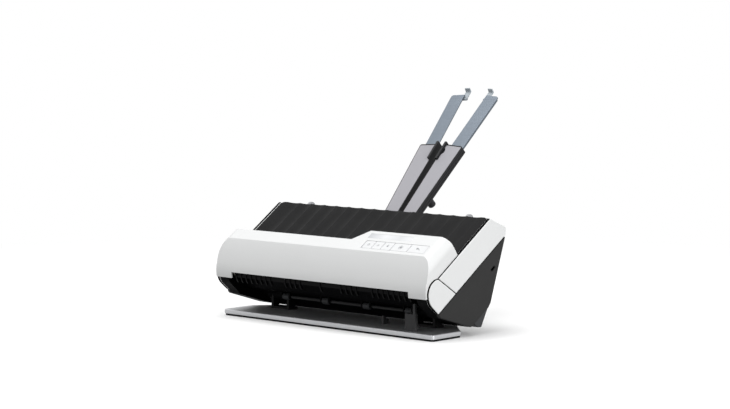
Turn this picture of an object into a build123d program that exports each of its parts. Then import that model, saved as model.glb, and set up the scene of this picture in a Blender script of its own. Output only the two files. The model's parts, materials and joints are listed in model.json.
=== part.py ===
from build123d import *
import math
import os

# Sheet fed document scanner on a tilting stand.
# Millimetres. +X is the scanner's right seen from the front, +Y is back, +Z is up.
# The origin is on the table, under the middle of the stand.
#
# The scanner body is drawn in its own body frame: x across, u along the paper path
# towards the tray, v square to the path. Outlines below are (u, v) points.
# The tray is drawn in a tray frame: x across, s along the arms, n out of their front.

# ---------------------------------------------------------------- shared fits
RUN_GAP = 0.05          # radial clearance of a shaft or pin that turns
SLIDE_GAP = 0.3         # clearance between pieces that slide or swing past each other
SEAM = 0.3              # gap at the seams between fixed covers
SEAT_GAP = 0.15         # clearance round a piece let into another
LINE_GAP = 0.9          # open shadow line between the white and black pieces of the sides
WALL = 2.2              # wall of the moulded casings

# ---------------------------------------------------------------- stand
OUTER_HALF = 150.0      # outside of the side covers, half the machine's width
PLATE_HALF_WIDTH = OUTER_HALF - 2
PLATE_FRONT = -45.0
PLATE_SIDE_END = -2.0
PLATE_REAR_HALF = PLATE_HALF_WIDTH - 47
PLATE_REAR = 45.0
PLATE_THICK = 4.6
PLATE_CORNER = 3.0
PLATE_BEVEL = 0.9
PAD_THICK = 2.0
PAD_INSET = 0.8
PLATE_TOP = PAD_THICK + PLATE_THICK

POST_INNER = OUTER_HALF - 45.6      # inner face of the support post
POST_WIDTH = 12.4
POST_FRONT = -37.5
POST_DEPTH = 6.0
POST_HEIGHT = 17.3
POST_ARM_WIDTH = 3.0    # thin arm on the post's outer side
POST_ARM_DEPTH = 3.0
POST_ARM_HEIGHT = 28.0
POST_ARM_INNER = POST_INNER + POST_WIDTH - POST_ARM_WIDTH / 2

TILT_Y = 0.0            # tilt hinge axis, runs along X
TILT_Z = 22.6
TILT_RANGE = 24.0       # degrees from the reclined to the upright position
TILT_PIN_R = 2.5
BRACKET_INNER = OUTER_HALF - 60
BRACKET_WIDTH = 26.0
BRACKET_EAR = 3.0
BRACKET_EAR_HALF = 4.5
BRACKET_FLANGE = 2.4
BRACKET_FLANGE_BACK = 9.0
BRACKET_OUTER = BRACKET_INNER + BRACKET_WIDTH
PIN_PROUD = 1.6         # the tilt pins stand out of the ears by this
TILT_LUG_R = 6.0        # bosses of the casing that the tilt pins turn in

STOP_X = 56.0           # recline stop fin
STOP_FRONT = -18.5
STOP_THICK = 2.4
STOP_LENGTH = 9.0
STOP_HEIGHT = 8.4
STOP_STEP = 4.5

# ---------------------------------------------------------------- scanner body
PATH_ANGLE = 34.3       # the paper path against the table, reclined
TILT_U = 29.3           # the tilt hinge in the body frame
TILT_V = -25.4
SIDE_THICK = 4.2        # side covers, trims and hinge caps
CORE_HALF = OUTER_HALF - SIDE_THICK - SEAM
END_INNER = OUTER_HALF - 17         # inner face of the hinge end blocks
COVER_HALF = OUTER_HALF - 2         # outside of the front cover

DECK_V = 28.5           # top of the input panel and of the side trims
HINGE_U = 11.5          # front cover hinge axis
HINGE_V = 15.3
CAP_R = 15.2            # hinge cap about the cover hinge axis
CAP_CHIN = (-3.0, 10.8)
NOSE = (0.0, 0.0)
SEAM_FOOT = (31.7, 0.0)
SEAM_TOP = (19.2, 28.4)
REAR_FOOT_CORNER = (125.7, 0.0)
REAR_CORNER = (131.0, 6.0)
REAR_TOP_U = 117.3
BELLY_V = -44.2
NOSE_CHIN = (0.3, -5.2)
BELLY_FRONT = (31.0, -43.0)
BELLY_REAR = (68.0, -42.8)
RECESS = 10.0           # the front underside is set back this far between the end blocks
KEEL_U = 27.0           # the set-back face ends here, over the keel along the belly
MOUTH_WALL_U = 14.0     # front wall behind the exit mouth

COVER_TOP = 51.0
COVER_CREASE_U = 26.0
COVER_FACE_FOOT = (3.0, 33.4)
COVER_FACE_BULGE = 0.8
LIP_FOOT = (-5.0, 22.0)
LIP_TRIM = 0.4          # degrees trimmed off the lip's edge, square to the cap
COVER_OVERRUN = 6.0     # the crossed outlines of the cover run past each other by this
COVER_REAR_RIGHT = 57.0
COVER_REAR_LEFT = 41.5
COVER_STEP_X = 28.0     # where the step in the cover's rear face starts
COVER_STEP_RUN = 15.5
COVER_CORNER = 12.0
CAP_GAP = 0.8
COVER_PIN_R = 2.0
COVER_SKIN = 2.2
ARM_OUTER = END_INNER - 0.6         # hinge arms of the cover
ARM_INNER = ARM_OUTER - 3
ARM_TOP_U = 28.6
EXIT_HALF = END_INNER - 8           # half width of the exit notch in the lip
EXIT_TOP_V = 27.5

# ---------------------------------------------------------------- paper path
PATH_V = 28.0           # lower guide surface
PATH_GAP = 1.3          # between the lower and the upper guide
GUIDE_THICK = 1.8
GUIDE_REAR_U = 39.4
PANEL_THICK = 2.4
FLUTE_PITCH = 18.2
FLUTE_COUNT = 15
FLUTE_DEPTH = 0.8
PANEL_CORNER = 5.0
PANEL_FRONT_U = GUIDE_REAR_U + SEAM
LUG_OUTER = END_INNER - 8.5         # outer face of the bearing plates, and of the lower guide
LUG_THICK = 3.0
RIB_PITCH = 7.2
RIB_THICK = 1.6
RIB_PROUD = 0.7
ENTRY_V = 32.0          # underside of the cover over the input panel

TYRE_PROUD = 0.25
FEED_U = 30.0
FEED_TYRE_R = 7.0
FEED_SHAFT_R = 2.5
FEED_V = PATH_V + TYRE_PROUD - FEED_TYRE_R
EXIT_ANGLE = 120.0      # exit shaft round the cover hinge axis, degrees from +u
EXIT_TYRE_R = 4.5
EXIT_SHAFT_R = 2.0
TYRE_X = (-62.0, -15.0, 15.0, 62.0)
TYRE_WIDTH = 14.0
SEPARATION_X = (-15.0, 15.0)
SEPARATION_WIDTH = 12.0
SEPARATION_R = 7.0
SEPARATION_HALF = 30.0

SENSOR_U = 12.3
SENSOR_WIDTH = 9.9
SENSOR_HALF = LUG_OUTER - 12.5
LOWER_SENSOR_DEPTH = 11.5
UPPER_SENSOR_DEPTH = 6.6

# sockets in the back wall, placed along x and up the wall
USB_X = (58.0, 70.0)
POWER_X = (88.0, 99.0)
PORT_Y = (24.0, 35.0)

BOARD_X = (46.0, 124.0)
BOARD_Y = (16.0, 52.0)
BOARD_LIFT = 15.0
REAR_FOOT_HALF = OUTER_HALF - 1
SCREW_X = (1 - END_INNER, -60.0, 60.0, END_INNER - 1)
SCREW_Y = 56.0
SCREW_R = 1.4

# gears of the roller drive
MODULE = 0.8
FEED_TEETH = 16
IDLER_TEETH = 16
EXIT_TEETH = 12
PINION_TEETH = 12
GEAR_WIDTH = 3.0
GEAR_OUTER = LUG_OUTER + 3.7        # outer face of the gear train, on the left
MOTOR_ANGLE = -41.0     # pinion round the feed shaft, degrees from +u
MOTOR_R = 8.0
MOTOR_LENGTH = 18.0
MOTOR_SHAFT_R = 1.0
IDLER_AXLE_R = 1.5

GUIDE_ROLLER_UV = (20.7, -20.5)
GUIDE_ROLLER_R = 3.4
GUIDE_ROLLER_WIDTH = 9.0
GUIDE_ROLLER_X = (-87.0, -29.0, 29.0, 87.0)
GUIDE_ROLLER_AXLE_R = 1.5

# ---------------------------------------------------------------- controls
BUTTON_FRONT_U = 30.2
BUTTON_REAR_U = 41.7
BUTTON_EDGES = (49.5, 62.9, 75.2, 88.2, 110.4, 133.0)
BUTTON_NAMES = ("power_button", "menu_button", "stop_button",
                "single_side_button", "double_side_button")
BUTTON_GAP = 0.5
BUTTON_TRAVEL = 0.6
BUTTON_DEPTH = 3.4
BUTTON_FLANGE = 0.9
WINDOW_X = (47.0, 105.0)
WINDOW_U = (46.0, 53.0)
WINDOW_THICK = 1.2
WINDOW_LEDGE = 1.0
BOARD_THICK = 1.6

# ---------------------------------------------------------------- tray
TRAY_U = 142.0          # tray frame origin in the body frame
TRAY_V = 7.8
TRAY_ANGLE = 11.3       # the arms against the paper path
ARM_PIVOT_X = 9.6
ARM_PIVOT_S = -30.0
ARM_FOOT_S = -38.0
ARM_SPLAY = 4.7         # an arm's outer edge against the tray's middle line
ARM_FLARE = 3.9         # its inner edge against its outer edge
ARM_REACH_OUT = 10.0    # from the pivot to the outer edge
ARM_REACH_IN = 6.9      # from the pivot to the inner edge
ARM_THICK = 8.6
ARM_TOP_S = 94.0
ARM_PIN_R = 2.5
EXTENSION_TOP_S = 170.5
EXTENSION_TRAVEL = 50.0
BLADE_THICK = 1.5
BLADE_FRONT_N = -4.0
TAB_TOP_S = 179.5
TAB_WIDTH = 6.5
CARRIAGE_HALF = 32.0
CARRIAGE_S = (-46.0, -18.0)
CARRIAGE_THICK = 2.7
KNOB_R = 4.3
KNOB_S = 24.0
KNOB_HEIGHT = 9.0
KNOB_SLOT = (8.0, CARRIAGE_HALF - 2.2)

# ---------------------------------------------------------------- edge guides
EDGE_GUIDE_X = OUTER_HALF - 38
EDGE_GUIDE_THICK = 3.0
EDGE_GUIDE_TRAVEL = 72.0
EDGE_GUIDE_Y = 11.5     # down the rear slope from its top edge
EDGE_GUIDE_HEIGHT = 5.6
EDGE_GUIDE_LENGTH = 11.0
RACK_MODULE = 1.0
GUIDE_PINION_TEETH = 10
RACK_THICK = 2.4
RACK_WIDTH = 2.6

# ---------------------------------------------------------------- frames
SIN_PATH = math.sin(math.radians(PATH_ANGLE))
COS_PATH = math.cos(math.radians(PATH_ANGLE))
BODY = Location(
    (0, TILT_Y - TILT_U * COS_PATH + TILT_V * SIN_PATH, TILT_Z - TILT_U * SIN_PATH - TILT_V * COS_PATH),
    (PATH_ANGLE, 0, 0),
)
TRAY = BODY * Location((0, TRAY_U, TRAY_V), (TRAY_ANGLE, 0, 0))
SLOPE_ANGLE = math.degrees(math.atan2(REAR_CORNER[1] - DECK_V, REAR_CORNER[0] - REAR_TOP_U))
SLOPE = BODY * Location((0, REAR_TOP_U, DECK_V), (SLOPE_ANGLE, 0, 0))
BACK_ANGLE = math.degrees(
    math.atan2(REAR_FOOT_CORNER[1] - BELLY_REAR[1], REAR_FOOT_CORNER[0] - BELLY_REAR[0]))
BACK = Location((0, BELLY_REAR[0], BELLY_REAR[1]), (BACK_ANGLE, 0, 0))   # within the body frame
WORLD = Location((0, 0, 0))
os.makedirs("parts", exist_ok=True)


# ---------------------------------------------------------------- helpers
def save(name, shape, frame=WORLD):
    """Write one sub-part, drawn in its own frame."""
    export_step(frame * shape, "parts/" + name + ".step")


def block(x0, x1, y0, y1, z0, z1):
    """A box between two corners."""
    centre = Pos((x0 + x1) / 2, (y0 + y1) / 2, (z0 + z1) / 2)
    return centre * Box(abs(x1 - x0), abs(y1 - y0), abs(z1 - z0))


def rod(x0, x1, axis, radius):
    """A round bar along X about an axis given as (y, z)."""
    return Pos((x0 + x1) / 2, axis[0], axis[1]) * Rot(0, 90, 0) * Cylinder(radius, abs(x1 - x0))


def polygon(points):
    """A flat face in the (y, z) outline plane."""
    return make_face(Polyline(*points, close=True))


def slab(face, x0, x1):
    """A side outline carried across from x0 to x1."""
    return extrude(Plane.YZ.offset(min(x0, x1)) * face, amount=abs(x1 - x0), dir=(1, 0, 0))


def sheet(face, z0, z1):
    """A plan outline carried up from z0 to z1."""
    return extrude(Pos(0, 0, z0) * face, amount=z1 - z0, dir=(0, 0, 1))


def around(centre, radius, angle):
    """The point at an angle, in degrees, round a centre."""
    turn = math.radians(angle)
    return (centre[0] + radius * math.cos(turn), centre[1] + radius * math.sin(turn))


def along(start, end, share):
    return (start[0] + (end[0] - start[0]) * share, start[1] + (end[1] - start[1]) * share)


# ---------------------------------------------------------------- shared places
HINGE = (HINGE_U, HINGE_V)
TILT = (TILT_U, TILT_V)
FEED = (FEED_U, FEED_V)
PATH_R = PATH_V - HINGE_V                       # lower guide bends round the cover hinge
UPPER_R = PATH_R + PATH_GAP
EXIT = around(HINGE, PATH_R + TYRE_PROUD - EXIT_TYRE_R, EXIT_ANGLE)
UPPER_V = PATH_V + PATH_GAP
SEPARATION = (FEED_U, PATH_V + TYRE_PROUD + SLIDE_GAP + SEPARATION_R)


def pitch_radius(teeth):
    return MODULE * teeth / 2


def meshing_point(a, b, reach_a, reach_b, side):
    """The point at given reaches from a and b, on one side of the line from a to b."""
    span = math.dist(a, b)
    foot = (reach_a ** 2 - reach_b ** 2 + span ** 2) / (2 * span)
    rise = side * math.sqrt(reach_a ** 2 - foot ** 2)
    du = (b[0] - a[0]) / span
    dv = (b[1] - a[1]) / span
    return (a[0] + foot * du - rise * dv, a[1] + foot * dv + rise * du)


IDLER = meshing_point(
    FEED, EXIT,
    pitch_radius(FEED_TEETH) + pitch_radius(IDLER_TEETH),
    pitch_radius(EXIT_TEETH) + pitch_radius(IDLER_TEETH), 1)
PINION = around(FEED, pitch_radius(FEED_TEETH) + pitch_radius(PINION_TEETH), MOTOR_ANGLE)


# ---------------------------------------------------------------- gears
def tooth_outline(teeth, module, phase):
    """Straight-flanked gear outline about the origin; phase is a tooth's angle in degrees."""
    pitch = 360 / teeth
    mid = module * teeth / 2
    rings = ((mid - 1.0 * module, 0.35), (mid, 0.225), (mid + 0.75 * module, 0.10))
    points = []
    for tooth in range(teeth):
        centre = phase + tooth * pitch
        for radius, share in rings:
            points.append(around((0, 0), radius, centre - share * pitch))
        for radius, share in reversed(rings):
            points.append(around((0, 0), radius, centre + share * pitch))
    return points


def facing_phase(place, phase, teeth, other, other_teeth):
    """The phase that brings the other gear into mesh with this one."""
    heading = math.degrees(math.atan2(other[1] - place[1], other[0] - place[0]))
    return heading + 180 + (heading - phase) * teeth / other_teeth + 180 / other_teeth


def gear(place, teeth, phase, bore):
    face = polygon(tooth_outline(teeth, MODULE, phase))
    body = Pos(0, place[0], place[1]) * slab(face, -GEAR_OUTER, -GEAR_OUTER + GEAR_WIDTH)
    return body - rod(-GEAR_OUTER - 1, -GEAR_OUTER + GEAR_WIDTH + 1, place, bore)


FEED_PHASE = 0.0
IDLER_PHASE = facing_phase(FEED, FEED_PHASE, FEED_TEETH, IDLER, IDLER_TEETH)
EXIT_PHASE = facing_phase(IDLER, IDLER_PHASE, IDLER_TEETH, EXIT, EXIT_TEETH)
PINION_PHASE = facing_phase(FEED, FEED_PHASE, FEED_TEETH, PINION, PINION_TEETH)


# ---------------------------------------------------------------- stand
def plate_outline(inset):
    half = PLATE_HALF_WIDTH - inset
    points = [
        (-half, PLATE_FRONT + inset),
        (half, PLATE_FRONT + inset),
        (half, PLATE_SIDE_END - inset / 2),
        (PLATE_REAR_HALF - inset / 2, PLATE_REAR - inset),
        (-PLATE_REAR_HALF + inset / 2, PLATE_REAR - inset),
        (-half, PLATE_SIDE_END - inset / 2),
    ]
    face = make_face(Polyline(*points, close=True))
    return fillet(face.vertices(), PLATE_CORNER)


def stand_plate():
    plate = sheet(plate_outline(0), PAD_THICK, PLATE_TOP)
    return chamfer(plate.faces().sort_by(Axis.Z)[-1].edges(), PLATE_BEVEL)


def support_post():
    post = block(POST_INNER, POST_INNER + POST_WIDTH,
                 POST_FRONT, POST_FRONT + POST_DEPTH, PLATE_TOP, PLATE_TOP + POST_HEIGHT)
    post = fillet(post.edges().filter_by(Axis.Z), 0.8)
    arm = block(POST_ARM_INNER, POST_ARM_INNER + POST_ARM_WIDTH,
                POST_FRONT, POST_FRONT + POST_ARM_DEPTH, PLATE_TOP, PLATE_TOP + POST_ARM_HEIGHT)
    return post + arm


def hinge_bracket(side):
    flange = block(side * BRACKET_INNER, side * BRACKET_OUTER,
                   TILT_Y - BRACKET_EAR_HALF, TILT_Y + BRACKET_FLANGE_BACK,
                   PLATE_TOP, PLATE_TOP + BRACKET_FLANGE)
    bracket = flange
    for start in (BRACKET_INNER, BRACKET_OUTER - BRACKET_EAR):
        ear = block(side * start, side * (start + BRACKET_EAR),
                    TILT_Y - BRACKET_EAR_HALF, TILT_Y + BRACKET_EAR_HALF, PLATE_TOP, TILT_Z)
        bracket += ear
        bracket += rod(side * start, side * (start + BRACKET_EAR), (TILT_Y, TILT_Z), BRACKET_EAR_HALF)
    return bracket - tilt_pin(side)


def tilt_pin(side):
    start = side * (BRACKET_INNER - PIN_PROUD)
    return rod(start, side * (BRACKET_OUTER + PIN_PROUD), (TILT_Y, TILT_Z), TILT_PIN_R)


def recline_stop():
    """A small stepped fin that stands on the plate."""
    points = [
        (STOP_FRONT, PLATE_TOP),
        (STOP_FRONT + STOP_LENGTH, PLATE_TOP),
        (STOP_FRONT + STOP_LENGTH, PLATE_TOP + STOP_STEP),
        (STOP_FRONT + STOP_LENGTH * 0.55, PLATE_TOP + STOP_STEP),
        (STOP_FRONT + STOP_LENGTH * 0.45, PLATE_TOP + STOP_HEIGHT),
        (STOP_FRONT + STOP_LENGTH * 0.1, PLATE_TOP + STOP_HEIGHT),
    ]
    return slab(polygon(points), STOP_X, STOP_X + STOP_THICK)


save("stand_plate", stand_plate())
save("stand_pad", sheet(plate_outline(PAD_INSET), 0, PAD_THICK))
for side, word in ((-1, "left"), (1, "right")):
    save("hinge_bracket_" + word, hinge_bracket(side))
save("tilt_pins", tilt_pin(-1) + tilt_pin(1))
save("support_post", support_post())
save("recline_stop", recline_stop())


# ---------------------------------------------------------------- scanner body outlines
CHIN_DIR = (BELLY_FRONT[0] - NOSE_CHIN[0], BELLY_FRONT[1] - NOSE_CHIN[1])
CHIN_LENGTH = math.hypot(*CHIN_DIR)
CHIN_UNIT = (CHIN_DIR[0] / CHIN_LENGTH, CHIN_DIR[1] / CHIN_LENGTH)
CHIN_IN = (-CHIN_UNIT[1], CHIN_UNIT[0])         # square to the front underside, inwards
SHELF_V = PATH_V - LOWER_SENSOR_DEPTH           # underside of the lower sensor bar
PANEL_FOOT_V = DECK_V - PANEL_THICK


def recess_point(depth, u=MOUTH_WALL_U):
    """A point on the front underside set back by a depth, at a given u."""
    start = (NOSE_CHIN[0] + CHIN_IN[0] * depth, NOSE_CHIN[1] + CHIN_IN[1] * depth)
    return (u, start[1] + (u - start[0]) * CHIN_UNIT[1] / CHIN_UNIT[0])


def tub_outline():
    """Outline of the casing between the end blocks."""
    points = [
        (MOUTH_WALL_U, SHELF_V),
        recess_point(RECESS),
        recess_point(RECESS, KEEL_U),
        BELLY_FRONT,
        (BELLY_FRONT[0] + 4, BELLY_V),
        (BELLY_REAR[0] - 2, BELLY_V),
        BELLY_REAR,
        REAR_FOOT_CORNER,
        REAR_CORNER,
        along(REAR_CORNER, (REAR_TOP_U, DECK_V), (PANEL_FOOT_V - REAR_CORNER[1]) / (DECK_V - REAR_CORNER[1])),
        (MOUTH_WALL_U, PANEL_FOOT_V),
    ]
    return polygon(points)


def side_outline():
    """Outline of the black side cover: nose, front underside, belly, back and path line."""
    points = [
        NOSE,
        NOSE_CHIN,
        BELLY_FRONT,
        (BELLY_FRONT[0] + 4, BELLY_V),
        (BELLY_REAR[0] - 4, BELLY_V),
        BELLY_REAR,
        REAR_FOOT_CORNER,
    ]
    return polygon(points)


def cap_outline(radius):
    """The D outline of a hinge cap, from the seam over the top to the nose."""
    top = around(HINGE, radius, math.degrees(math.atan2(SEAM_TOP[1] - HINGE_V, SEAM_TOP[0] - HINGE_U)))
    chin = around(HINGE, radius, math.degrees(math.atan2(CAP_CHIN[1] - HINGE_V, CAP_CHIN[0] - HINGE_U)))
    crown = around(HINGE, radius, 130)
    edges = ThreePointArc(top, crown, chin) + Polyline(chin, NOSE, SEAM_FOOT, top)
    return make_face(edges)


def trim_outline(inset=0.0):
    """The white strip between the seam of the hinge cap and the rear."""
    points = [
        (SEAM_TOP[0] + LINE_GAP, DECK_V),
        (SEAM_FOOT[0] + LINE_GAP, 0),
        (REAR_FOOT_CORNER[0], 0),
        REAR_CORNER,
        (REAR_TOP_U - 1.5, DECK_V),
    ]
    face = polygon(points)
    face = fillet(face.vertices().sort_by(Axis.X)[-1], 3)
    return offset(face, amount=-inset, kind=Kind.INTERSECTION) if inset else face


# ---------------------------------------------------------------- base casing
def hinge_recess(side):
    """Room for the ears of one hinge bracket, through the tilt range."""
    clear = BRACKET_EAR_HALF + SLIDE_GAP
    shape = None
    for start in (BRACKET_INNER, BRACKET_OUTER - BRACKET_EAR):
        x0 = side * (start - SLIDE_GAP)
        x1 = side * (start + BRACKET_EAR + SLIDE_GAP)
        room = rod(x0, x1, TILT, clear)
        for step in range(5):
            turn = -PATH_ANGLE - TILT_RANGE * step / 4
            strip = block(x0, x1, -clear, clear, -22, 0)
            room += Pos(0, TILT_U, TILT_V) * Rot(turn, 0, 0) * strip
        shape = room if shape is None else shape + room
    return shape


def post_pocket(spare):
    """Room behind the mouth that takes the support post when the body stands upright."""
    side_gap = 4 * SLIDE_GAP + spare
    return block(POST_INNER - side_gap, POST_ARM_INNER + POST_ARM_WIDTH + side_gap,
                 MOUTH_WALL_U - (0 if spare else 8), 24 + spare, -5 - spare, min(13.6 + spare, SHELF_V))


POCKET_WALL = 1.6       # wall round the pocket for the post


def base_casing():
    tub = slab(tub_outline(), -CORE_HALF, CORE_HALF)
    hollow = offset(tub_outline(), amount=-WALL, kind=Kind.INTERSECTION)
    tub -= slab(hollow, -CORE_HALF + WALL, CORE_HALF - WALL)
    # open top, under the lower guide, the sensor bar and the input panel
    tub -= block(-CORE_HALF + WALL, CORE_HALF - WALL, MOUTH_WALL_U + WALL, REAR_TOP_U - 0.2, SHELF_V - 4, 40)
    tub -= block(-END_INNER, END_INNER, MOUTH_WALL_U - 1, MOUTH_WALL_U + WALL + 1, SHELF_V, 40)
    tub += roller_brackets()
    # the post runs into a pocket of the front wall
    tub += post_pocket(POCKET_WALL)
    tub -= post_pocket(0)
    inside = offset(tub_outline(), amount=-WALL / 2, kind=Kind.INTERSECTION)
    for side in (-1, 1):
        end = slab(side_outline(), side * END_INNER, side * CORE_HALF)
        end -= block(side * END_INNER, side * CORE_HALF, BELLY_FRONT[0] + 2, 140, -60, 10)
        end -= slab(inside, side * END_INNER, side * CORE_HALF)
        end += slab(cap_outline(CAP_R), side * END_INNER, side * CORE_HALF)
        tub += end
        # bearing ribs under the ends of the lower guide
        rib = block(side * (LUG_OUTER - LUG_THICK), side * LUG_OUTER, MOUTH_WALL_U + 1, 36, -40, SHELF_V - 2)
        tub += rib & slab(tub_outline(), -CORE_HALF, CORE_HALF)
        # lug that carries the tilt hinge pin
        bore_end = PIN_PROUD + SLIDE_GAP
        lug_end = bore_end + WALL
        tub += rod(side * (BRACKET_INNER - lug_end), side * (BRACKET_OUTER + lug_end), TILT, TILT_LUG_R)
        tub -= hinge_recess(side)
        bore = (side * (BRACKET_INNER - bore_end), side * (BRACKET_OUTER + bore_end))
        tub -= rod(*bore, TILT, TILT_PIN_R + RUN_GAP)
        # room for the cover's hinge arm, and the bore for its pin
        tub -= block(side * (END_INNER - 4.2), side * END_INNER, 4, MOUTH_WALL_U + 6, 9, 30)
        tub -= rod(side * (END_INNER - 1), side * (END_INNER + 4), HINGE, COVER_PIN_R)
    # room for the idler gear in the top of the front wall
    tub -= block(-END_INNER, -LUG_OUTER, IDLER[0] - 9, IDLER[0] + 9, IDLER[1] - 7.6, 30)
    tub += carriage_rails()
    tub -= tray_slot()
    tub -= port_cuts(0)
    for x in SCREW_X:
        tub -= BACK * Pos(x, SCREW_Y, 0) * Cylinder(SCREW_R, 4 * WALL)
    return tub - guide_slots()


RAIL_RUN = 200.0        # cuts for the carriage run past the casing by this


def carriage_rails():
    """Two inner ribs with a ledge, which carry the tray carriage."""
    inside = offset(tub_outline(), amount=-WALL / 2, kind=Kind.INTERSECTION)
    rails = None
    for side in (-1, 1):
        rail = slab(inside, side * (CARRIAGE_HALF - 2), side * (CARRIAGE_HALF + 2.5))
        lane_half = CARRIAGE_HALF + SLIDE_GAP
        lane = block(-lane_half, lane_half, -RAIL_RUN, RAIL_RUN, 0, RAIL_RUN)
        above = block(-2 * lane_half, 2 * lane_half, -RAIL_RUN, RAIL_RUN,
                      2 * SLIDE_GAP + CARRIAGE_THICK, RAIL_RUN)
        tray_local = Location((0, TRAY_U, TRAY_V), (TRAY_ANGLE, 0, 0))
        rail -= tray_local * lane
        rail -= tray_local * above
        rails = rail if rails is None else rails + rail
    return rails


def tray_slot():
    """The slot in the rear that the arms slide through, deeper where the knob passes."""
    lane = block(-CARRIAGE_HALF, CARRIAGE_HALF, -40, 40, -ARM_THICK - 0.6, 0.8)
    knob = block(KNOB_SLOT[0], KNOB_SLOT[1], -78, 40, -ARM_THICK - KNOB_HEIGHT - 1, 0)
    return Location((0, TRAY_U, TRAY_V), (TRAY_ANGLE, 0, 0)) * (lane + knob)


def roller_brackets():
    """Small lugs on the recessed underside that hold the guide roller axle."""
    lugs = None
    out = GUIDE_ROLLER_UV
    back = recess_point(RECESS, out[0] + 4)
    lug_face = polygon([
        around(out, 2.9, 150), around(out, 2.9, 200), around(out, 2.9, 260), around(out, 2.9, 310),
        (back[0] + 4.5, back[1] - 2), (back[0] - 3, back[1] + 6.5)])
    for x in GUIDE_ROLLER_X:
        for shift in (-GUIDE_ROLLER_WIDTH / 2 - 2.4, GUIDE_ROLLER_WIDTH / 2 + 0.4):
            lug = slab(lug_face, x + shift, x + shift + 2)
            lugs = lug if lugs is None else lugs + lug
    return lugs - rod(-100, 100, out, GUIDE_ROLLER_AXLE_R + RUN_GAP)


def port_cuts(grow):
    """Holes in the back wall for the two sockets."""
    usb = block(USB_X[0] - grow, USB_X[1] + grow, PORT_Y[0] - grow, PORT_Y[1] + grow, -5, WALL + 2)
    power = block(POWER_X[0] - grow, POWER_X[1] + grow, PORT_Y[0] - grow, PORT_Y[1] + grow, -5, WALL + 2)
    return BACK * (usb + power)


def guide_slots():
    """Slots along the rear slope that the feet of the edge guides run in."""
    end = EDGE_GUIDE_X + EDGE_GUIDE_THICK / 2 + 1
    inner = EDGE_GUIDE_X - EDGE_GUIDE_TRAVEL - EDGE_GUIDE_THICK / 2 - 1
    half = 1.5 + SLIDE_GAP
    slot = block(inner, end, EDGE_GUIDE_Y - half, EDGE_GUIDE_Y + half, -WALL - 2, 2)
    slot += block(-end, -inner, EDGE_GUIDE_Y - half, EDGE_GUIDE_Y + half, -WALL - 2, 2)
    return Location((0, REAR_TOP_U, DECK_V), (SLOPE_ANGLE, 0, 0)) * slot


save("base_casing", base_casing(), BODY)


# ---------------------------------------------------------------- side covers, trims and caps
SIDE_RIM = 2.0          # rim left round the pocket inside a side cover
SIDE_SKIN = 2.2
SLOT_UV = (91.0, -16.0)


def side_cover(side):
    cover = slab(side_outline(), side * (CORE_HALF + SEAM), side * OUTER_HALF)
    pocket = offset(side_outline(), amount=-SIDE_RIM, kind=Kind.INTERSECTION)
    cover -= slab(pocket, side * (CORE_HALF + SEAM), side * (OUTER_HALF - SIDE_SKIN))
    cover -= block(side * CORE_HALF, side * (OUTER_HALF + 1), -10, 140, -LINE_GAP, 10)
    if side > 0:
        slot = Pos(OUTER_HALF - SIDE_SKIN / 2, *SLOT_UV) * Box(SIDE_SKIN * 2, 6.5, 3)
        cover -= slot
    return cover


def side_trim(side):
    trim = slab(trim_outline(), side * (CORE_HALF + SEAM), side * OUTER_HALF)
    pocket = trim_outline(SIDE_RIM)
    trim -= slab(pocket, side * (CORE_HALF + SEAM), side * (OUTER_HALF - SIDE_SKIN))
    outer = trim.faces().sort_by(Axis.X)[-1 if side > 0 else 0]
    return chamfer(outer.edges(), 0.5)


def hinge_cap(side):
    cap = slab(cap_outline(CAP_R), side * (CORE_HALF + SEAM), side * OUTER_HALF)
    return cap


for side, word in ((-1, "left"), (1, "right")):
    save("side_cover_" + word, side_cover(side), BODY)
    save("side_trim_" + word, side_trim(side), BODY)
    save("hinge_cap_" + word, hinge_cap(side), BODY)


# ---------------------------------------------------------------- input panel
def input_panel():
    """A fluted plate; the flutes are shallow arcs that meet in sharp ridges."""
    half = CORE_HALF
    fluted = FLUTE_PITCH * FLUTE_COUNT / 2
    edges = Polyline((-fluted, DECK_V), (-half, DECK_V), (-half, PANEL_FOOT_V),
                     (half, PANEL_FOOT_V), (half, DECK_V), (fluted, DECK_V))
    for flute in range(FLUTE_COUNT):
        start = -fluted + flute * FLUTE_PITCH
        edges += ThreePointArc((start, DECK_V), (start + FLUTE_PITCH / 2, DECK_V - FLUTE_DEPTH),
                               (start + FLUTE_PITCH, DECK_V))
    section = Plane.XZ.offset(-PANEL_FRONT_U) * make_face(edges)
    panel = extrude(section, amount=REAR_TOP_U - PANEL_FRONT_U, dir=(0, 1, 0))
    plan = make_face(Polyline((-half, PANEL_FRONT_U), (half, PANEL_FRONT_U), (half, REAR_TOP_U),
                              (-half, REAR_TOP_U), close=True))
    rounded = fillet(plan.vertices().sort_by(Axis.Y)[-2:], PANEL_CORNER)
    return panel & sheet(rounded, PANEL_FOOT_V - 1, DECK_V + 1)


save("input_panel", input_panel(), BODY)


# ---------------------------------------------------------------- lower guide
def bent_plate(inner, outer, last, rear, half):
    """A plate along the path that bends round the cover hinge at its front."""
    low = HINGE_V + inner
    high = HINGE_V + outer
    middle = (90 + last) / 2
    edges = Polyline((HINGE_U, high), (rear, high), (rear, low), (HINGE_U, low))
    edges += ThreePointArc((HINGE_U, low), around(HINGE, inner, middle), around(HINGE, inner, last))
    edges += Line(around(HINGE, inner, last), around(HINGE, outer, last))
    edges += ThreePointArc(around(HINGE, outer, last), around(HINGE, outer, middle), (HINGE_U, high))
    return slab(make_face(edges), -half, half)


def sector(inner, outer, first, last):
    """A ring sector about the cover hinge axis."""
    middle = (first + last) / 2
    inside = [around(HINGE, inner, angle) for angle in (first, middle, last)]
    outside = [around(HINGE, outer, angle) for angle in (last, middle, first)]
    edges = ThreePointArc(*inside) + Line(inside[2], outside[0])
    edges += ThreePointArc(*outside) + Line(outside[2], inside[0])
    return make_face(edges)


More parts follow.
